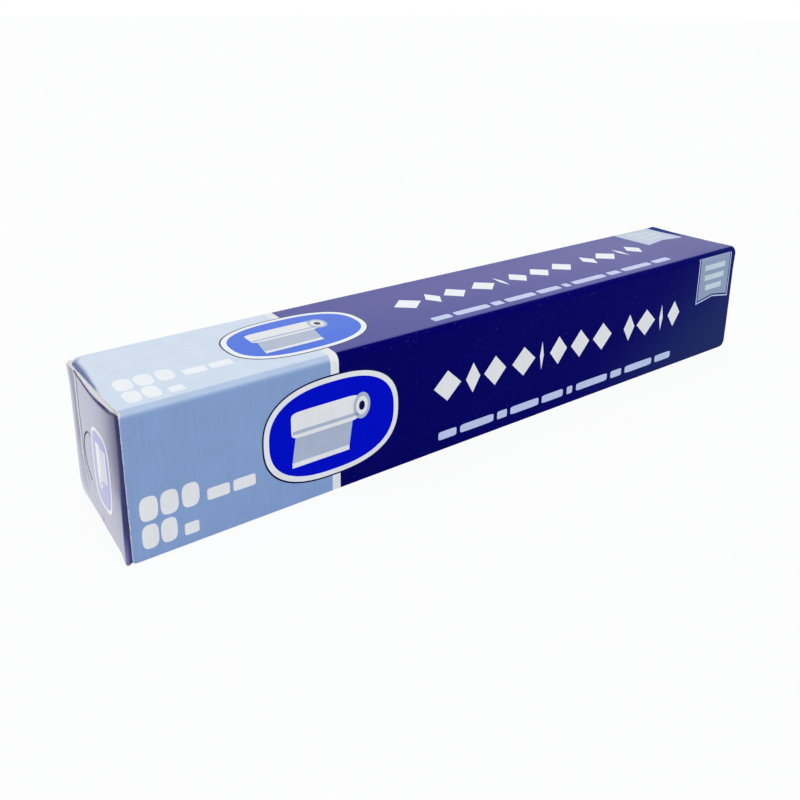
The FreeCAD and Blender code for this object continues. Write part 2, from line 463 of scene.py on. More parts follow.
def smooth(low, high, value):
    """Smooth step of an array, from 0 at low to 1 at high."""
    t = np.clip((value - low) / (high - low), 0.0, 1.0)
    return t * t * (3.0 - 2.0 * t)


def spaced(start, end, step):
    """Evenly spaced values from start to end, at most a step apart."""
    return np.linspace(start, end, int(math.ceil(abs(end - start) / step - 1e-6)) + 1)


def joined(*runs):
    """Runs of values end to end, without the values that they share."""
    return np.concatenate([runs[0]] + [run[1:] for run in runs[1:]])


# Share of the height, radians a metre and start of each wave along an uneven edge

UNEVEN_WAVES = ((0.5, 900.0, 0.0), (0.3, 2300.0, 1.0), (0.2, 4700.0, 2.0))


def ragged(along, reach):
    """Unevenness of a die-cut edge: the sum of three sine waves along it, of the reach at the most."""
    return reach * sum(share * np.sin(along * turn + start) for share, turn, start in UNEVEN_WAVES)


# Form of the folded board

# Lid: unevenness of its ends, flare of the right one, and the swell of the front fold there

LID_UNEVEN = (0.06 * MM, 0.05 * MM)
FLARE_MORE = 0.1 * MM
FLARE_WIDTH = 6 * MM
SWELL_LENGTH = 60 * MM
SWELL_BEFORE_FOLD = 1.4 * MM
SWELL_ON_TOP = 14 * MM
SWELL_ON_FRONT = 1.45 * MM

# Lid: bends of its back corners, and of the whole back edge

EDGE_DROOP = 0.5 * MM
EDGE_DROOP_WIDTH = 2.0 * MM
CURL_WIDTH = 2.6 * MM
DROOP_LENGTH = 15 * MM
DROOP_DEPTH = 16 * MM
SAG_START = 34 * MM
SAG_END = 2 * MM

# Bow of the lid, as shares of the long sides' bow, at the front fold and down the front

FOLD_BOW = 0.3
FRONT_BOW = 0.7

# End flaps: radius of their folds at the foot as a share, and how far they stand in at their folds

FOOT_FOLD = 0.6
FOOT_FOLD_HEIGHT = 25 * MM
FOOT_INSET = 0.1 * MM
MORE_INSET = 0.9 * MM
INSET_RISE = (2 * MM, 40 * MM)
INSET_FADE = 8.5 * MM


class Form:
    """Places of the folded board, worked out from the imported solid's box and the sizes."""

    def __init__(self):
        low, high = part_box(NODE)
        s = self.sizes = bpy.context.scene.carton_sizes
        self.front, self.back = low[1] + s.side_bulge, high[1] - s.side_bulge
        self.side_bow = s.side_bulge - (INK_LAYERS + 1) * bpy.context.scene.carton_print.film
        self.top = high[2] - s.top_bulge
        self.depth = self.back - self.front
        self.tray_left, self.tray_right = low[0] + s.end_bulge, high[0] - s.lid_overhang
        self.lid_left, self.lid_right = self.tray_left + s.tray_lead, high[0] - s.end_bulge - s.side_bulge
        self.lid_middle = (self.lid_left + self.lid_right) / 2
        self.tray_front = self.front + s.board
        self.tray_top = self.top - s.board
        quarter = math.pi / 2
        self.hinge_end = s.hinge_fold * quarter
        self.top_end = self.hinge_end + self.depth - s.hinge_fold - s.lid_fold
        self.fold_end = self.top_end + s.lid_fold * quarter
        self.fold_middle = (self.top_end + self.fold_end) / 2
        self.lid_end = self.fold_end + self.top - s.lid_fold - s.flap_lift

    def along_top(self, y):
        """Distance along the lid's section at a place y of the top."""
        return self.hinge_end + self.back - self.sizes.hinge_fold - y

    def down_front(self, z):
        """Distance along the lid's section at a height z of the front flap."""
        return self.fold_end + self.top - self.sizes.lid_fold - z

    def lid_section(self, s):
        """Place and outward direction of the lid at a distance s along its section.

        Straight up the back where s is below 0, a quarter circle round the hinge, the flat top, a
        quarter circle round the front fold, and straight down the front flap.
        """
        sizes = self.sizes
        hinge = np.clip(s, 0, self.hinge_end) / sizes.hinge_fold
        fold = (np.clip(s, self.top_end, self.fold_end) - self.top_end) / sizes.lid_fold
        across = np.clip(s, self.hinge_end, self.top_end) - self.hinge_end
        down = np.clip(s - self.fold_end, 0, None)
        below = np.clip(-s, 0, None)
        y = self.back - sizes.hinge_fold * (1 - np.cos(hinge)) - across - sizes.lid_fold * np.sin(fold)
        z = self.top - sizes.hinge_fold * (1 - np.sin(hinge)) - sizes.lid_fold * (1 - np.cos(fold))
        z = z - down - below
        out_y = np.where(s < self.top_end, np.cos(hinge), -np.sin(fold))
        out_z = np.where(s < self.top_end, np.sin(hinge), np.cos(fold))
        return y, z, out_y, out_z

    def lid_ends(self, s):
        """Left and right ends of the lid at a distance s along its section.

        The left end leans out towards the back and is cut back at the hinge, the lower corners of
        the flap are quarter circles, the right end bows out at mid height and flares as a bell at
        the front fold, and both ends are slightly uneven.
        """
        y, z = self.lid_section(s)[:2]
        sizes = self.sizes
        depth = (y - self.front) / self.depth
        above = np.clip(z - sizes.flap_lift, 0, None)

        def corner(radius):
            gap = np.clip(radius - above, 0, radius)
            return radius - np.sqrt(radius ** 2 - gap ** 2)

        bow = sizes.side_bulge * np.sin(math.pi * np.clip(z / self.top, 0, 1)) * smooth(0.05, 0.0, depth)
        flare = (sizes.end_bulge + FLARE_MORE) * np.exp(-((s - self.fold_middle) / FLARE_WIDTH) ** 2)
        skew = sizes.lid_skew * (0.5 * depth + 0.5 * smooth(0.0, 0.35, depth))
        notch = sizes.lid_notch * smooth(0.89, 0.985, depth)
        left = self.lid_left - skew + notch + corner(sizes.left_corner) + ragged(s, LID_UNEVEN[0])
        right = self.lid_right + bow + flare - corner(sizes.right_corner) + ragged(s + 0.5, LID_UNEVEN[1])
        return left, right

    def hang(self, x, y):
        """How far the top hangs down at the back, with a droop that falls off from the left end."""
        from_end = np.clip(x - self.tray_left, 0, None)
        near_back = smooth(self.back - DROOP_DEPTH, self.back, y)
        droop = self.sizes.droop * np.exp(-from_end / DROOP_LENGTH) * near_back
        return droop + self.sizes.hinge_sag * smooth(self.back - SAG_START, self.back - SAG_END, y)

    def along(self, x):
        """1 at the middle of the carton, falling as a parabola to 0 at its ends."""
        return 1 - np.clip(2 * (x - self.lid_middle) / (self.lid_right - self.lid_left), -1, 1) ** 2

    def lid_point(self, x, s, height=0.0):
        """Point of the lid's outer surface at x and a distance s along its section, lifted by a height.

        The panels bow out as parabolas along their length and the lower edge rises at the middle.
        Near the back the left end droops and the right end curls up, each as a bell that falls off
        along the length. The right half rises towards its end, where the front fold swells as a
        bell that is wider on the top's side.
        """
        sizes = self.sizes
        y, z, out_y, out_z = self.lid_section(s)
        depth = np.clip((y - self.front) / self.depth, 0, 1)
        level = np.clip(z / (self.top - sizes.lid_fold), 0, 1)
        from_hinge = smooth(-0.5 * MM, self.hinge_end, s)
        from_fold = smooth(self.top_end, self.fold_end, s)
        arch = self.along(x)
        lift = arch * from_hinge * (sizes.crown * (1 - from_fold) + FOLD_BOW * self.side_bow * from_fold)
        lift = lift + FRONT_BOW * self.side_bow * from_fold * arch * np.sin(math.pi * level)
        past_swell = s - self.fold_middle + SWELL_BEFORE_FOLD
        width = np.where(past_swell < 0, SWELL_ON_TOP, SWELL_ON_FRONT)
        swell = sizes.corner_lift * np.exp(-(past_swell / width) ** 2)
        lift = lift + swell * smooth(self.lid_right - SWELL_LENGTH, self.lid_right, x)
        right_half = smooth(self.lid_middle, self.lid_right, x)
        lift = lift + sizes.end_raise * right_half * from_hinge * (1 - from_fold)
        on_top = smooth(0.02, 0.10, depth) * smooth(1.0, 0.97, depth)
        from_left = np.abs((x - self.lid_left + sizes.lid_skew) / EDGE_DROOP_WIDTH)
        droop = EDGE_DROOP * np.exp(-from_left ** 1.5) * smooth(0.30, 0.72, depth)
        from_right = np.abs((self.lid_right - x) / CURL_WIDTH)
        curl = sizes.curl * np.exp(-from_right ** 1.5) * smooth(0.60, 1.0, depth)
        lift = lift + on_top * (curl - droop) + height
        rise = sizes.bottom_bow * arch * (1 - level) ** 2 * from_fold
        rise = rise - self.hang(x, y)
        return np.stack(np.broadcast_arrays(x, y + lift * out_y, z + lift * out_z + rise), -1)

    def fold_radius(self, z):
        """Radius of the folds from the front to the end flaps, which are tighter near the foot."""
        return self.sizes.side_fold * (FOOT_FOLD + (1 - FOOT_FOLD) * smooth(0.0, FOOT_FOLD_HEIGHT, z))

    def fold_swell(self, z):
        """How far the end flap stands in at its fold, and the distance over which that fades."""
        return FOOT_INSET + MORE_INSET * smooth(*INSET_RISE, z), INSET_FADE

    def end_plan(self, q, z):
        """Plan of an end flap's board at a distance q from where its fold starts, for the left end.

        Before the fold it runs along the tray's front face, then round an arc, then back along the
        end, from which it stands in by an exponential that levels out behind the fold and is larger
        towards the top. The arc ends in the exponential's own direction.
        """
        radius, (swell, fade) = self.fold_radius(z), self.fold_swell(z)
        lean = np.arctan(swell / fade)
        quarter = self.sizes.side_fold * math.pi / 2
        turn = np.clip(q / quarter, 0, 1) * (math.pi / 2 - lean)
        before, behind = np.clip(-q, 0, None), np.clip(q - quarter, 0, None)
        x = self.tray_left + swell * np.exp(-behind / fade) + radius * (np.cos(lean) - np.sin(turn)) + before
        y = self.tray_front + radius * (1 - np.cos(turn)) + behind
        slope = swell / fade * np.exp(-behind / fade)
        out_x = np.where(behind > 0, -1.0, -np.sin(turn))
        out_y = np.where(behind > 0, -slope, -np.cos(turn))
        size = np.hypot(out_x, out_y)
        return x, y, out_x / size, out_y / size

    def end_point(self, q, z, height=0.0, right=False):
        """Point of an end flap at a distance q round its fold and a height z, lifted by a height."""
        x, y, out_x, out_y = self.end_plan(q, z)
        x, y = x + height * out_x, y + height * out_y
        if right:
            x = self.tray_left + self.tray_right - x
        return np.stack(np.broadcast_arrays(x, y, z), -1)

    def end_distance(self, y, z):
        """Distance round the fold at which the end flap is at a place y and a height z."""
        swell, fade = self.fold_swell(z)
        fold = self.fold_radius(z) * (1 - np.sin(np.arctan(swell / fade)))
        return y - self.tray_front - fold + self.sizes.side_fold * math.pi / 2


# Steps of the lid's grid across its section and along it, and the stretches that are stepped finely

ROUND_STEP = 0.25 * MM
FOLD_STEP = 0.3 * MM
FLAT_STEP = 1.2 * MM
LONG_STEP = 0.006
END_STEP = 0.0012
END_SHARE = 0.02
HINGE_LAP = 0.6 * MM
LOWER_STRETCH = 4 * MM


def make_lid(form):
    """Lid sheet on a grid of the distance along its section and the place between its two ends.

    The wear falls off from each edge as an exponential, and from the left end of the front fold as a
    bell. The dark, unvarnished strips beside the two ends of the top are smooth steps that widen to the
    back: the right one is painted shade where the lid's end curls up, the left one a dark strip along
    the left edge.
    """
    s = joined(spaced(-HINGE_LAP, 0, FOLD_STEP), spaced(0, form.hinge_end, ROUND_STEP),
               spaced(form.hinge_end, form.top_end, FLAT_STEP),
               spaced(form.top_end, form.fold_end, FOLD_STEP),
               spaced(form.fold_end, form.lid_end - LOWER_STRETCH, FLAT_STEP),
               spaced(form.lid_end - LOWER_STRETCH, form.lid_end, ROUND_STEP))
    share = joined(spaced(0, END_SHARE, END_STEP), spaced(END_SHARE, 1 - END_SHARE, LONG_STEP),
                   spaced(1 - END_SHARE, 1, END_STEP))
    left, right = form.lid_ends(s)
    x = left[:, None] + share[None, :] * (right - left)[:, None]
    rows = np.broadcast_to(s[:, None], x.shape)
    front = smooth(form.top_end, form.fold_end, rows)
    from_left, from_right, from_end = x - left[:, None], right[:, None] - x, form.lid_end - rows
    depth = np.clip((form.lid_section(rows)[0] - form.front) / form.depth, 0, 1)
    left_wear = (0.30 + 0.44 * front) * np.exp(-from_left / (0.60 * MM))
    right_wear = 0.35 * np.exp(-from_right / (0.4 * MM))
    lower_wear = 0.30 * np.exp(-from_end / (0.4 * MM))
    corner_wear = 0.9 * np.exp(-(from_left ** 2 + (rows - form.fold_middle) ** 2) / (1.1 * MM) ** 2)
    wear = left_wear + right_wear + lower_wear + corner_wear
    left_width = 0.8 * MM + 2.2 * MM * smooth(0.30, 0.8, depth)
    left_strip = smooth(left_width, 0.3 * left_width, from_left) * smooth(0.28, 0.45, depth)
    # Painted shade: a dark, unvarnished band along the right end at the back, where the lid curls up
    right_shade_width = 6.5 * MM * smooth(0.40, 1.0, depth)
    right_painted_shade = smooth(right_shade_width + 0.4 * MM, right_shade_width - 0.3 * MM, from_right)
    shade_and_dull = 0.8 * left_strip * smooth(0.98, 0.90, depth) + 0.85 * right_painted_shade * smooth(0.45, 0.6, depth)
    return board_sheet("lid", form.lid_point(x, rows), form.lid_point(x, rows, -form.sizes.board),
                       material("printed lid", lid_material), wear, shade_and_dull)


# Body: its clearances to the end flaps, the front flap and the lid, and how its ends lean out

BODY_TO_FLAPS = 0.05 * MM
BODY_TO_FRONT = 0.3 * MM
BODY_TO_LID = 0.02 * MM
BODY_STEP = 4.0 * MM
BODY_FOLD_STEP = 0.2 * MM
STRIP_LEAN = 0.6 * MM
LEDGE_SHARE = 0.85
CORNER_LEAN = 0.35 * MM
CORNER_RISE = 0.3 * MM

# Body: heights and places from front to back between which those leans grow

STRIP_HEIGHTS = (0.2 * MM, 2.8 * MM)
STRIP_PLACES = (14 * MM, 24 * MM)
LEDGE_HEIGHTS = (45 * MM, 50.5 * MM)
LEDGE_PLACES = (-20 * MM, -4 * MM)
CORNER_HEIGHTS = (44 * MM, 51 * MM)
CORNER_PLACES = (16 * MM, 25 * MM)
FOOT_PLACES = (21 * MM, 26 * MM)

# Body: how far its bare board reaches in from the ends and down from the top

RAW_AT_END = 3 * MM
RAW_SHARE = 0.6
RAW_DOWN = 1.7 * MM
RAW_LESS_BEHIND = 0.9 * MM
RAW_LESS_PLACES = (-8 * MM, 8 * MM)
RAW_FRONT_DEPTH = 3.5 * MM
RAW_FRONT_DOWN = 3.2 * MM


def make_body(form):
    """Body of the closed tray: a box whose edges are all folds of one radius.

    Each point of a box's six gridded faces is drawn in to a smaller box, then pushed out by the
    radius along the line between the two. The back then bulges as a parabola along its length and a
    sine up its height, and the long lower edges rise at the middle. The ends lean out by smooth
    steps at the back and under the lid. Its upper edges are bare board.
    """
    sizes = form.sizes
    radius = sizes.base_fold
    from_flap = sizes.board + BODY_TO_FLAPS
    low = np.array([form.tray_left + from_flap, form.tray_front + BODY_TO_FRONT, 0.0])
    high = np.array([form.tray_right - from_flap, form.back, form.tray_top - BODY_TO_LID])

    def marks(axis):
        near = spaced(low[axis], low[axis] + radius, BODY_FOLD_STEP)
        middle = spaced(low[axis] + radius, high[axis] - radius, BODY_STEP)
        return joined(near, middle, spaced(high[axis] - radius, high[axis], BODY_FOLD_STEP))

    points, quads, start = [], [], 0
    for axis in range(3):
        first, second = (axis + 1) % 3, (axis + 2) % 3
        a, b = np.meshgrid(marks(first), marks(second), indexing="ij")
        index = np.arange(a.size).reshape(a.shape)
        cell = np.stack([index[:-1, :-1], index[1:, :-1], index[1:, 1:], index[:-1, 1:]], -1).reshape(-1, 4)
        for side, edge in ((0, low[axis]), (1, high[axis])):
            face = np.zeros((a.size, 3))
            face[:, axis], face[:, first], face[:, second] = edge, a.ravel(), b.ravel()
            points.append(face)
            quads.append((cell if side else cell[:, ::-1]) + start)
            start += a.size
    points, quads = np.concatenate(points), np.concatenate(quads)
    core = np.clip(points, low + radius, high - radius)
    away = points - core
    points = core + radius * away / np.maximum(np.linalg.norm(away, axis=1, keepdims=True), 1e-9)
    level = np.clip(points[:, 2] / high[2], 0, 1)
    arch = form.along(points[:, 0])
    behind = (points[:, 1] > form.back - radius) * 1.0
    points[:, 1] += sizes.side_bulge * behind * arch * np.sin(math.pi * level)
    points[:, 2] += sizes.bottom_bow * arch * (1 - level) ** 2
    y, z = points[:, 1].copy(), points[:, 2].copy()
    strip = smooth(*STRIP_PLACES, y) * smooth(*STRIP_HEIGHTS, z)
    ledge = LEDGE_SHARE * smooth(*LEDGE_HEIGHTS, z) * smooth(*LEDGE_PLACES, y)
    corner = smooth(*CORNER_HEIGHTS, z) * smooth(*CORNER_PLACES, y)
    lean = STRIP_LEAN * np.maximum(strip, ledge) + CORNER_LEAN * corner
    at_left = smooth(low[0] + 4 * MM, low[0] + 1 * MM, points[:, 0])
    at_right = smooth(high[0] - 4 * MM, high[0] - 1 * MM, points[:, 0])
    swell, fade = form.fold_swell(z)
    inset = swell * np.exp(-np.clip(y - form.tray_front - sizes.side_fold, 0, None) / fade)
    points[:, 0] += (at_right - at_left) * (lean - inset)
    points[:, 2] -= form.hang(points[:, 0], y) * smooth(30 * MM, 48 * MM, z)
    at_back = smooth(*FOOT_PLACES, y)
    points[:, 2] += CORNER_RISE * np.maximum(at_left, at_right) * at_back * (1 - level) ** 6
    middle = np.stack([points[:, 0], y, z], -1)[quads].mean(1)
    near_end = np.abs(middle[:, 0] - form.lid_middle) > (high[0] - low[0]) / 2 - RAW_AT_END
    bare_from = high[2] - RAW_DOWN + RAW_LESS_BEHIND * smooth(*RAW_LESS_PLACES, middle[:, 1])
    raw = (middle[:, 2] > high[2] - RAW_SHARE * radius) | ((middle[:, 2] > bare_from) & near_end)
    in_front = middle[:, 1] < form.front + RAW_FRONT_DEPTH
    raw = (raw & ~in_front) | (in_front & near_end & (middle[:, 2] > high[2] - RAW_FRONT_DOWN))
    return new_object("tray_body", points, quads, material("printed tray", tray_material), raw)


# End flap: its lap on the tray's front, its reach behind the fold, its uneven edges and its cut

FLAP_LAP = 8 * MM
FLAP_REACH = 43 * MM
FLAP_EDGE_UNEVEN = 0.1 * MM
FREE_EDGE_UNEVEN = 0.18 * MM
CUT_DEPTH = 0.3 * MM
CUT_WIDTH = 0.2 * MM


def free_edge(z):
    """Place y of the end flap's free edge at a height z: a broken line, slightly uneven."""
    heights = np.array([0.0, 3.8, 5.9, 10.0, 14.2, 18.8, 26.0, 38.0, 44.0, 53.0]) * MM
    places = np.array([11.2, 12.0, 13.2, 14.3, 15.6, 17.4, 17.3, 17.8, 17.4, 16.8]) * MM
    return np.interp(z, heights, places) + ragged(z, FREE_EDGE_UNEVEN)


def make_end_flap(form, right):
    """End flap on a grid of the distance round its fold and the share of its height.

    The upper edge sags, the lower edge rises behind the fold, and the round cut of the press-in tab
    is a groove whose depth is a bell of the distance from the cut. A strip at the free edge is worn
    bare. A thin line along the upper edge under the lid is painted shadow, and the print is dark and
    unvarnished beside the bare strip and in one small spot.
    """
    sizes = form.sizes
    quarter = sizes.side_fold * math.pi / 2
    fixed = joined(spaced(-FLAP_LAP, 0, 0.8 * MM), spaced(0, quarter, 0.25 * MM))
    share = joined(spaced(0, 0.5, 0.028), spaced(0.5, 1.0, 0.006))
    t = joined(spaced(0, 0.1, 0.01), spaced(0.1, 0.24, 0.02), spaced(0.24, 0.68, 0.0055),
               spaced(0.68, 1.0, 0.02))
    reach = form.end_distance(free_edge(t * form.tray_top), t * form.tray_top)
    swept = quarter + share[None, 1:] * (reach[:, None] - quarter)
    q = np.concatenate([np.broadcast_to(fixed, (len(t), len(fixed))), swept], 1)
    behind = np.clip(q - quarter, 0, None)
    part = np.clip(behind / FLAP_REACH, 0, 1)
    lower_step = 1.9 * MM * smooth(0.6 * MM, 4.2 * MM, behind)
    lower_bow = 0.6 * MM * np.sin(math.pi * part)
    lower_slope = 1.2 * MM * smooth(0.4, 0.85, part)
    lap_rise = 0.9 * MM * smooth(0.1 * MM, 1.4 * MM, -q)
    bottom = 0.02 * MM + lower_step + lower_bow + lower_slope + lap_rise
    upper_step = 0.8 * MM * smooth(0, 6 * MM, behind)
    upper_sag = 1.3 * MM * np.sin(math.pi * part) ** 1.5
    lap_drop = 3.0 * MM * smooth(quarter, -3 * MM, q)
    top = form.tray_top - 0.3 * MM - upper_step - upper_sag - lap_drop
    z = bottom + t[:, None] * (top - bottom)
    on_edge = (t[:, None] > 0.99) | (t[:, None] < 0.01)
    z = z + ragged(q + 0.3, FLAP_EDGE_UNEVEN) * on_edge * (q > quarter)
    y = form.end_plan(q, z)[1]
    along, up = y - sizes.tab_place, z - sizes.tab_height
    groove = np.exp(-((np.hypot(along, up) - sizes.tab_radius) / CUT_WIDTH) ** 2)
    groove = groove * smooth(-0.3 * MM, 0.3 * MM, along + sizes.tab_crease)
    from_edge = free_edge(z) - y
    band = 1.8 * MM + ragged(z + 0.7, 0.6 * MM)
    edge_wear = 1.1 * smooth(band + 0.25 * MM, band - 0.25 * MM, from_edge)
    wear = edge_wear + 0.16 * np.exp(-((q - quarter / 2) / (0.6 * MM)) ** 2)
    # Painted shadow: a thin dark, unvarnished line along the upper edge, in the gap under the lid's end
    painted_shadow_under_lid = 0.8 * np.exp(-((top - z) / (0.32 * MM)) ** 2) * (q > -5 * MM)
    beside_edge = 0.85 * np.exp(-((from_edge - 2.6 * MM) / (0.5 * MM)) ** 2) * smooth(0.08, 0.2, t[:, None])
    spot = 0.7 * np.exp(-((along + 6.2 * MM) ** 2 + (z - 4.6 * MM) ** 2) / (0.7 * MM) ** 2)
    shade_and_dull = np.clip(painted_shadow_under_lid + beside_edge + spot, 0, 1)
    outer = form.end_point(q, z, -CUT_DEPTH * groove, right)
    inner = form.end_point(q, z, -sizes.board, right)
    if right:
        outer, inner, wear, shade_and_dull = outer[::-1], inner[::-1], wear[::-1], shade_and_dull[::-1]
    return board_sheet("end_flap_right" if right else "end_flap_left", outer, inner,
                       material("printed tray", tray_material), wear, shade_and_dull)


# Print

# Powers of the curves round a shape, from round to nearly square, and the turned label's border

OVAL = 2.5
ROUND = 3.0
TURNED_OVAL = 3.6
SQUARE = 8.0
TURNED_BORDER = 0.6


def rounded(centre_a, centre_b, half_a, half_b, power=2.0, cells=16):
    """Grid over a rounded shape: each ring of a square is drawn out to the curve |a|^p + |b|^p = 1."""
    side = np.linspace(-1, 1, cells + 1)
    u, v = np.meshgrid(side, side, indexing="ij")
    ring = np.maximum(np.abs(u), np.abs(v))
    size = np.maximum(np.hypot(u, v), 1e-9)
    cos, sin = u / size, v / size
    curve = np.maximum(np.abs(cos) ** power + np.abs(sin) ** power, 1e-9) ** (-1 / power)
    return centre_a + half_a * ring * curve * cos, centre_b + half_b * ring * curve * sin


def four_sided(corners, cells=8):
    """Grid over a shape of four corners, given anticlockwise from the lowest in both directions."""
    t = np.linspace(0, 1, cells + 1)
    u, v = np.meshgrid(t, t, indexing="ij")
    c = np.array(corners)
    weights = [(1 - u) * (1 - v), u * (1 - v), u * v, (1 - u) * v]
    return tuple(sum(w * c[k, i] for k, w in enumerate(weights)) for i in (0, 1))


def bar(a0, a1, b0, b1, cells=8):
    return four_sided([(a0, b0), (a1, b0), (a1, b1), (a0, b1)], cells)


def lozenge(a0, a1, b0, b1):
    """Rhombus that touches the middles of a rectangle's sides."""
    a, b = (a0 + a1) / 2, (b0 + b1) / 2
    return four_sided([(a, b0), (a1, b), (a, b1), (a0, b)])


def swallow_tail(a0, a1, start, tips, notch, cells=24):
    """Pennant that hangs from start to two tips, with a notch between them: straight edges to each."""
    u, v = np.meshgrid(np.linspace(0, 1, cells + 1), np.linspace(0, 1, 4 * cells + 1), indexing="ij")
    end = tips + (notch - tips) * (1 - np.abs(2 * u - 1))
    return a0 + u * (a1 - a0), start + v * (end - start)


def ink_piece(name, surface, shapes, made_of):
    """Slabs of ink on a panel: shapes are grids with a colour and a layer number.

    surface gives a point from two places and a height. Each slab's outer grid lies its layer's films
    above the panel and its inner grid half a film below it. Slabs whose grid runs the other way round
    are turned, so that every face points outwards.
    """
    film = bpy.context.scene.carton_print.film
    points, quads, raws, inks, start = [], [], [], [], 0
    for (a, b), colour, layer in shapes:
        outer = surface(a, b, film * layer)
        inner = surface(a, b, -0.5 * film)
        middle = (outer.shape[0] // 2, outer.shape[1] // 2)
        along = outer[middle[0] + 1, middle[1]] - outer[middle]
        across = outer[middle[0], middle[1] + 1] - outer[middle]
        if np.dot(np.cross(along, across), outer[middle] - inner[middle]) < 0:
            outer, inner = outer[::-1], inner[::-1]
        faces = sheet_faces(*outer.shape[:2])[0]
        points += [outer.reshape(-1, 3), inner.reshape(-1, 3)]
        quads.append(faces + start)
        raws.append(np.zeros(len(faces)))
        count = 2 * outer.shape[0] * outer.shape[1]
        inks.append(np.broadcast_to(np.array(tuple(colour)), (count, 3)))
        start += count
    made = new_object(name, np.concatenate(points), np.concatenate(quads), made_of, np.concatenate(raws),
                      inks=np.concatenate(inks))
    own(made)


def label_shapes(a, b, half_a, half_b, field, white, turned=False, power=OVAL):
    """Oval label with a white border and a roll of foil with its free end hanging down.

    turned swaps the two directions for a label that is read from the side, and narrows its border.
    The roll's corners and middles are shares of the label's half sizes.
    """
    colours, layout = bpy.context.scene.carton_colours, bpy.context.scene.carton_print
    part = TURNED_BORDER if turned else 1.0
    edge, line = part * layout.label_border, part * layout.label_line
    dark = tuple(colours.shade)

    def rolled(u, v):
        u, v = (v, -u) if turned else (u, v)
        return a + half_a * u, b + half_b * v

    def patch(u, v, half_u, half_v, power, cells=16):
        return rolled(*rounded(u, v, half_u, half_v, power, cells))

    def quad(corners):
        return rolled(*four_sided(corners, 10))

    return [
        (rounded(a, b, half_a + line, half_b + line, power, 48), dark, 1),
        (rounded(a, b, half_a, half_b, power, 48), white, 2),
        (rounded(a, b, half_a - edge, half_b - edge, power, 48), field, 3),
        (quad([(-0.62, -0.52), (0.22, -0.52), (0.30, 0.2), (-0.54, 0.2)]), colours.foil, 4),
        (quad([(-0.62, -0.60), (0.22, -0.60), (0.223, -0.50), (-0.617, -0.50)]), colours.white, 5),
        (patch(-0.12, 0.24, 0.50, 0.26, SQUARE), colours.white, 5),
        (quad([(-0.60, 0.06), (0.38, 0.06), (0.38, 0.13), (-0.60, 0.13)]), colours.foil, 6),
        (patch(0.42, 0.24, 0.13, 0.27, 2.0), colours.foil, 6),
        (patch(0.42, 0.24, 0.09, 0.19, 2.0), colours.white, 7),
        (patch(0.42, 0.24, 0.045, 0.095, 2.0), dark, 8),
    ]


# Starts and ends of the title's lozenges, the small print's bars and the size marks, in millimetres
# along the carton, and for each size mark its share of its row's height

TITLE = ((-36.0, -22.3), (-19.8, -12.3), (-10.2, 1.8), (5.2, 18.5), (21.3, 23.5), (27.3, 37.7), (40.2, 51.8),
         (54.3, 66.8), (75.2, 82.7), (84.3, 97.7), (101.0, 103.5), (107.3, 116.3))
DASHES = ((-33.2, -24.0), (-22.0, -4.0), (-2.0, 3.5), (5.5, 22.0), (24.0, 37.0), (39.5, 43.0), (45.5, 66.0),
          (68.5, 76.0), (78.5, 98.0), (100.5, 112.2))
SIZE_MARKS = (((0.0, 6.0, 1.0), (6.8, 12.8, 1.0), (13.9, 19.9, 1.0), (22.5, 30.5, 0.5), (31.8, 40.0, 0.5)),
              ((0.1, 5.6, 1.0), (6.3, 11.8, 1.0), (14.1, 19.1, 0.5)))

# Places on the front: along the carton, and up from the bottom

FRONT_LABEL = (-81.1 * MM, 26.6 * MM)
FRONT_TITLE = (21.5 * MM, 34.6 * MM)
FRONT_DASHES = (4.8 * MM, 8.4 * MM)
FRONT_MARKS_LEFT = -152.6 * MM
FRONT_MARKS = ((13.9 * MM, 22.7 * MM), (3.8 * MM, 12.6 * MM))
FRONT_PENNANT = (129.0 * MM, 155.3 * MM)
FRONT_PENNANT_PAST_TOP = 2.7 * MM
FRONT_PENNANT_ENDS = (28.9 * MM, 31.0 * MM)

# Places on the top: along the carton, and from front to back; shifts of its rows in millimetres

TOP_LABEL = (-81.9 * MM, -0.4 * MM)
TOP_TITLE = (-4.4 * MM, 7.8 * MM)
TOP_TITLE_SHIFT = 0.6
TOP_DASHES = (-20.5 * MM, -16.7 * MM)
TOP_DASHES_SHIFT = 2.0
TOP_MARKS_LEFT = -151.8 * MM
TOP_MARKS = ((-12.2 * MM, -3.1 * MM), (-21.8 * MM, -13.0 * MM))
TOP_PENNANT = (125.6 * MM, 152.9 * MM)
TOP_PENNANT_ENDS = (2.0 * MM, 4.6 * MM)

# Place on an end: from front to back, and up from the bottom

END_LABEL = (-6.8 * MM, 25.0 * MM)


def title_shapes(low, high, white, shift=0.0):
    """Row of solid lozenges, as wide and as spaced as the words of a title."""
    return [(lozenge((a0 + shift) * MM, (a1 + shift) * MM, low, high), white, 1) for a0, a1 in TITLE]


def dash_shapes(low, high, shift=0.0):
    """Row of short bars, as a line of small print is spaced."""
    lilac, middle, half = bpy.context.scene.carton_colours.lilac, (low + high) / 2, (high - low) / 2
    return [(rounded((a0 + a1 + 2 * shift) / 2 * MM, middle, (a1 - a0) / 2 * MM, half, SQUARE, 8), lilac, 1)
            for a0, a1 in DASHES]


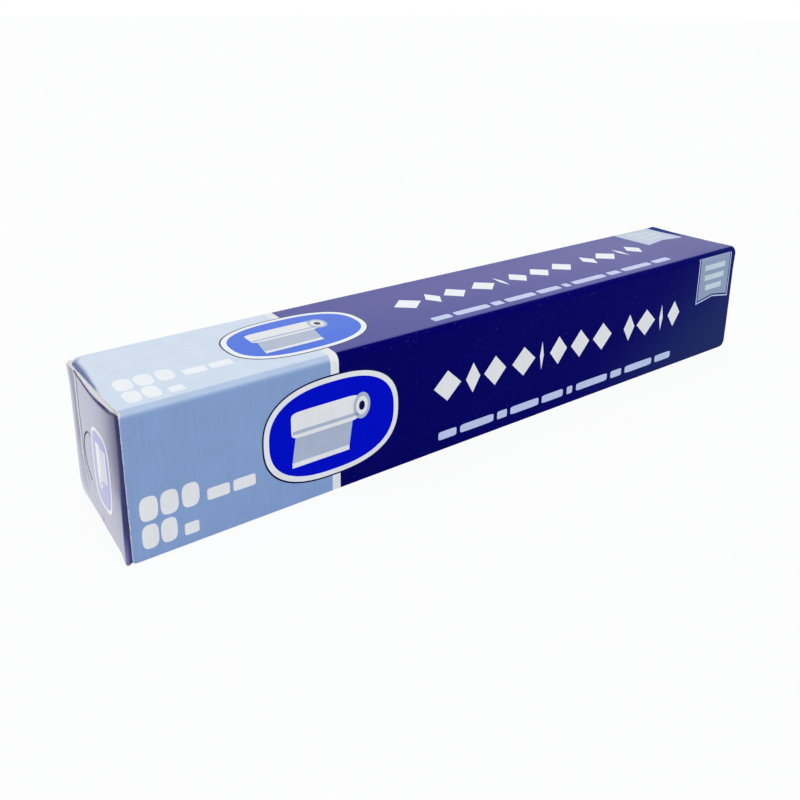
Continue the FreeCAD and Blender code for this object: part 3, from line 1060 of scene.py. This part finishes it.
def pennant_shapes(a0, a1, start, tips, notch, between, field, bars):
    """Pennant with a light outline, a thin gap inside it and three bars across its field."""
    sign = 1 if tips > start else -1

    def inset(by):
        return swallow_tail(a0 + by, a1 - by, start, tips - sign * 1.3 * by, notch - sign * 1.1 * by)

    shapes = [(inset(0.0), bpy.context.scene.carton_colours.lilac, 1), (inset(0.6 * MM), between, 2),
              (inset(1.25 * MM), field, 3)]
    length = abs(notch - start)
    for k, share in enumerate((0.63, 0.60, 0.50)):
        middle = start + sign * length * (0.25 + 0.243 * k)
        side, half = (1 - share) / 2 * (a1 - a0), 0.066 * length
        shapes.append((bar(a0 + side, a1 - side, middle - half, middle + half), bars, 4))
    return shapes


def size_shapes(left, rows, white):
    """Two rows of rounded marks, some of half height."""
    shapes = []
    for (low, high), marks in zip(rows, SIZE_MARKS):
        for start, end, part in marks:
            middle, half = left + (start + end) / 2 * MM, (end - start) / 2 * MM
            half_height = part * (high - low) / 2
            power = ROUND if part == 1.0 else SQUARE
            shapes.append((rounded(middle, low + half_height, half, half_height, power, 12), white, 1))
    return shapes


# Operators

class CARTON_OT_body(bpy.types.Operator):
    """Builds the body of the tray with its bottom, back and inner end flaps"""
    bl_idname = "carton.body"
    bl_label = "Tray body"

    def execute(self, context):
        own(make_body(Form()), True)
        return {"FINISHED"}


class CARTON_OT_lid(bpy.types.Operator):
    """Builds the lid: top panel, front fold and glued front flap"""
    bl_idname = "carton.lid"
    bl_label = "Lid"

    def execute(self, context):
        own(make_lid(Form()), True)
        return {"FINISHED"}


class CARTON_OT_end_flaps(bpy.types.Operator):
    """Builds the two outer end flaps with their press-in tabs"""
    bl_idname = "carton.end_flaps"
    bl_label = "End flaps"

    def execute(self, context):
        form = Form()
        own(make_end_flap(form, False), True)
        own(make_end_flap(form, True), True)
        return {"FINISHED"}


class CARTON_OT_lid_print(bpy.types.Operator):
    """Prints the label, lozenges, dashes, pennant and size marks on the front and the top"""
    bl_idname = "carton.lid_print"
    bl_label = "Lid print"

    def execute(self, context):
        form = Form()
        layout, colours = context.scene.carton_print, context.scene.carton_colours
        half = layout.label_width / 2
        ink = material("lid ink", lid_ink)

        def front(x, z, height):
            return form.lid_point(x, form.down_front(z), height)

        def top(x, y, height):
            return form.lid_point(x, form.along_top(y), height)

        shapes = label_shapes(*FRONT_LABEL, half, layout.label_front / 2, colours.royal, colours.white)
        shapes += title_shapes(*FRONT_TITLE, colours.white)
        shapes += dash_shapes(*FRONT_DASHES)
        shapes += size_shapes(FRONT_MARKS_LEFT, FRONT_MARKS, colours.white)
        ink_piece("print_front", front, shapes, ink)

        ends = [form.down_front(z) for z in FRONT_PENNANT_ENDS]
        shapes = pennant_shapes(*FRONT_PENNANT, form.top_end + FRONT_PENNANT_PAST_TOP, *ends, colours.navy,
                                colours.steel, colours.ice)
        ink_piece("print_pennant", form.lid_point, shapes, ink)

        # The top's inks are lighter copies of the front's, as painted haze and light
        shapes = label_shapes(*TOP_LABEL, half, layout.label_top / 2, colours.royal_top_painted_light, colours.white_top_painted_light)
        shapes += title_shapes(*TOP_TITLE, colours.white_top_painted_light, TOP_TITLE_SHIFT)
        shapes += dash_shapes(*TOP_DASHES, TOP_DASHES_SHIFT)
        shapes += pennant_shapes(*TOP_PENNANT, form.back - form.sizes.hinge_fold, *TOP_PENNANT_ENDS,
                                 colours.steel_top_painted_light, colours.steel_top_painted_light, colours.ice)
        shapes += size_shapes(TOP_MARKS_LEFT, TOP_MARKS, colours.white_top_painted_light)
        ink_piece("print_top", top, shapes, ink)
        return {"FINISHED"}


class CARTON_OT_end_print(bpy.types.Operator):
    """Prints a label, turned on its side, on each end flap"""
    bl_idname = "carton.end_print"
    bl_label = "End print"

    def execute(self, context):
        form = Form()
        layout, colours = context.scene.carton_print, context.scene.carton_colours
        for name, right in (("print_left", False), ("print_right", True)):
            def end(y, z, height):
                return form.end_point(form.end_distance(y, z), z, height, right)

            half_width, half_height = layout.label_end_width / 2, layout.label_end_height / 2
            shapes = label_shapes(*END_LABEL, half_width, half_height, colours.royal, colours.white, True,
                                  TURNED_OVAL)
            ink_piece(name, end, shapes, material("tray ink", tray_ink))
        return {"FINISHED"}


# Stage: the camera's place, the directions of its right and up, and the floor

CAMERA_PLACE = (-0.21678, -0.25740, 0.17188)
CAMERA_RIGHT = (0.81625, -0.57765, 0.00707)
CAMERA_UP = (0.15890, 0.23627, 0.95861)
FLOOR_HALF = 12.0
FLOOR_DROP = 0.05 * MM


def sun(name, energy, spread, direction):
    """Soft sun that shines along a direction."""
    data = bpy.data.lights.new(name, "SUN")
    data.energy, data.angle = energy, math.radians(spread)
    lamp = bpy.data.objects.new(name, data)
    lamp.rotation_euler = Vector(direction).to_track_quat("-Z", "Y").to_euler()
    bpy.context.collection.objects.link(lamp)


def white_behind(shader, kind):
    """A strength of 1, and where camera, glossy and transmission rays see it."""
    path = shader.node("ShaderNodeLightPath").socket.node
    seen = Value(shader, path.outputs["Is Camera Ray"])
    for name in ("Is Glossy Ray", "Is Transmission Ray"):
        seen = seen.most(Value(shader, path.outputs[name]))
    return seen, shader.node(kind, inputs={"Strength": 1.0})


def floor_material(shader):
    """White floor that keeps the carton's shadow."""
    seen, white = white_behind(shader, "ShaderNodeEmission")
    plain = shader.node("ShaderNodeBsdfDiffuse", inputs={"Color": (0.92, 0.92, 0.92, 1.0)})
    both = shader.node("ShaderNodeMixShader", inputs={0: seen * 0.9, 1: plain, 2: white})
    shader.node("ShaderNodeOutputMaterial", inputs={"Surface": both})


def place_camera(scene):
    """Camera at the photograph's viewing angle, in front of the carton's left end and above it."""
    data = bpy.data.cameras.new("camera")
    data.sensor_width = 36.0
    data.lens = 37.13
    data.shift_y = -0.1875
    data.clip_start = 0.01
    camera = bpy.data.objects.new("camera", data)
    right, up = Vector(CAMERA_RIGHT), Vector(CAMERA_UP)
    turn = Matrix((right, up, right.cross(up))).transposed().to_4x4()
    camera.matrix_world = Matrix.Translation(Vector(CAMERA_PLACE)) @ turn
    scene.collection.objects.link(camera)
    scene.camera = camera


class CARTON_OT_stage(bpy.types.Operator):
    """Lays the floor, hangs the lights and places the camera"""
    bl_idname = "carton.stage"
    bl_label = "Stage"

    def execute(self, context):
        scene = context.scene
        corners = np.array([(-1, -1), (1, -1), (1, 1), (-1, 1)]) * FLOOR_HALF
        points = np.concatenate([corners, np.full((4, 1), -FLOOR_DROP)], 1)
        floor = new_object("floor", points, np.array([[0, 1, 2, 3]]), material("white floor", floor_material),
                           np.zeros(1))
        world = bpy.data.worlds.new("soft sky")
        scene.world = world
        shader = Shader(world)
        seen, white = white_behind(shader, "ShaderNodeBackground")
        white.socket.node.inputs["Color"].default_value = (1.0, 1.0, 1.0, 1.0)
        sky = shader.node("ShaderNodeBackground", inputs={"Color": (0.95, 0.97, 1.0, 1.0), "Strength": 0.62})
        both = shader.node("ShaderNodeMixShader", inputs={0: seen, 1: sky, 2: white})
        shader.node("ShaderNodeOutputWorld", inputs={"Surface": both})
        sun("key", 1.1, 40.0, (0.35, 0.45, -1.0))
        place_camera(scene)
        scene.view_settings.view_transform = "Standard"
        return {"FINISHED"}


class CARTON_PT_panel(bpy.types.Panel):
    """Lists the carton's pieces, sizes, print and colours"""
    bl_idname = "CARTON_PT_panel"
    bl_label = "Foil Carton"
    bl_space_type = "VIEW_3D"
    bl_region_type = "UI"
    bl_category = "Foil Carton"

    def draw(self, context):
        layout = self.layout
        for operator in OPERATORS:
            layout.operator(operator.bl_idname)
        for group in (context.scene.carton_sizes, context.scene.carton_print, context.scene.carton_colours):
            column = layout.column(align=True)
            for name in type(group).__annotations__:
                column.prop(group, name)


OPERATORS = (CARTON_OT_body, CARTON_OT_lid, CARTON_OT_end_flaps, CARTON_OT_lid_print, CARTON_OT_end_print,
             CARTON_OT_stage)
CLASSES = (CartonSizes, PrintLayout, CartonColours) + OPERATORS + (CARTON_PT_panel,)


def register():
    for cls in CLASSES:
        bpy.utils.register_class(cls)
    bpy.types.Scene.carton_sizes = PointerProperty(type=CartonSizes)
    bpy.types.Scene.carton_print = PointerProperty(type=PrintLayout)
    bpy.types.Scene.carton_colours = PointerProperty(type=CartonColours)


def unregister():
    del bpy.types.Scene.carton_colours
    del bpy.types.Scene.carton_print
    del bpy.types.Scene.carton_sizes
    for cls in reversed(CLASSES):
        bpy.utils.unregister_class(cls)


def main():
    register()
    bpy.ops.carton.body()
    bpy.ops.carton.lid()
    bpy.ops.carton.end_flaps()
    bpy.ops.carton.lid_print()
    bpy.ops.carton.end_print()
    bpy.ops.carton.stage()


if __name__ == "__main__":
    main()
